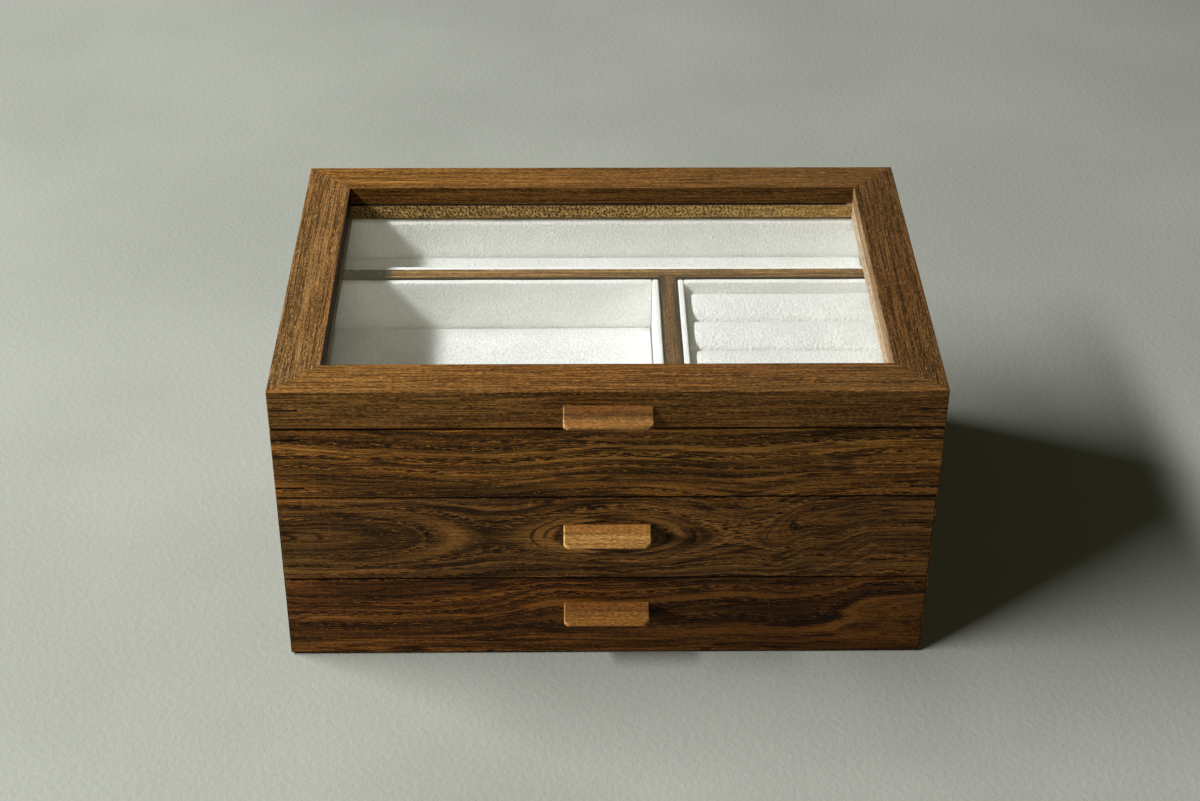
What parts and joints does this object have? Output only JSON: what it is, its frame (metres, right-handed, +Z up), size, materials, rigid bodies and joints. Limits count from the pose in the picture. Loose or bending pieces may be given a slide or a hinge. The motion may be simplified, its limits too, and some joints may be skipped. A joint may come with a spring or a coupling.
{
  "type": "jewelry case",
  "caption": "Hardwood jewelry case: hinged glass-topped lid over suede-lined trays with ring rolls, and lined drawers below, all opened by scooped wooden pulls.",
  "frame": {"origin": "middle of the felt underside that the case stands on", "axes": "+X to the right of someone facing the drawers, -Y out of the drawer fronts, +Z up"},
  "size_m": [0.3, 0.2229, 0.151],
  "materials": {
    "case_wood": "oiled, open-pored dark brown hardwood",
    "pull_wood": "oiled, lighter tan-brown hardwood",
    "bead_wood": "oiled, quarter-sawn golden hardwood",
    "drawer_wood": "bare planed hardwood",
    "spline_wood": "oiled, near-black veneer",
    "suede": "ivory suede",
    "felt": "dark brown felt",
    "glass": "clear float glass",
    "brass": "satin brass",
    "tape": "black glazing tape"
  },
  "bodies": {
    "case": {"side_left": "case_wood", "side_right": "case_wood", "back_wall": "case_wood", "front_rail": "case_wood", "base_panel": "drawer_wood", "drawer_shelf": "drawer_wood", "tray_floor": "drawer_wood", "base_felt": "felt", "case_splines": "spline_wood", "lid_bumpers": "felt", "long_divider": "case_wood", "cross_divider": "case_wood", "rear_tray": "suede", "left_tray": "suede", "ring_tray": "suede", "rear_back_board": "suede", "rear_pad": "suede", "left_pad": "suede", "ring_roll_1": "suede", "ring_roll_2": "suede", "ring_roll_3": "suede", "ring_roll_4": "suede", "ring_strip": "suede", "hinge_left_case_leaf": "brass", "hinge_right_case_leaf": "brass", "hinge_left_pin": "brass", "hinge_right_pin": "brass", "hinge_case_screws": "brass"},
    "lid": {"lid_front_rail": "case_wood", "lid_back_rail": "case_wood", "lid_left_stile": "case_wood", "lid_right_stile": "case_wood", "lid_splines": "spline_wood", "lid_glass": "glass", "glass_tape": "tape", "glass_bead_front": "bead_wood", "glass_bead_back": "bead_wood", "glass_bead_left": "bead_wood", "glass_bead_right": "bead_wood", "lid_pull": "pull_wood", "hinge_left_lid_leaf": "brass", "hinge_right_lid_leaf": "brass", "hinge_lid_screws": "brass"},
    "upper_drawer": {"upper_drawer_front": "case_wood", "upper_drawer_left_side": "drawer_wood", "upper_drawer_right_side": "drawer_wood", "upper_drawer_back": "drawer_wood", "upper_drawer_bottom": "drawer_wood", "upper_drawer_pull": "pull_wood", "upper_drawer_tray": "suede", "upper_drawer_pad": "suede"},
    "lower_drawer": {"lower_drawer_front": "case_wood", "lower_drawer_left_side": "drawer_wood", "lower_drawer_right_side": "drawer_wood", "lower_drawer_back": "drawer_wood", "lower_drawer_bottom": "drawer_wood", "lower_drawer_pull": "pull_wood", "lower_drawer_tray": "suede", "lower_drawer_pad": "suede"}
  },
  "joints": [
    {"name": "lid_hinge", "type": "hinge", "parent": "case", "child": "lid", "pos_m": [0, 0.1055, 0.13105], "axis": [-1, 0, 0], "range_deg": [0, 95]},
    {"name": "upper_drawer_slide", "type": "slide", "parent": "case", "child": "upper_drawer", "axis": [0, -1, 0], "range_m": [0, 0.14]},
    {"name": "lower_drawer_slide", "type": "slide", "parent": "case", "child": "lower_drawer", "axis": [0, -1, 0], "range_m": [0, 0.14]}
  ]
}
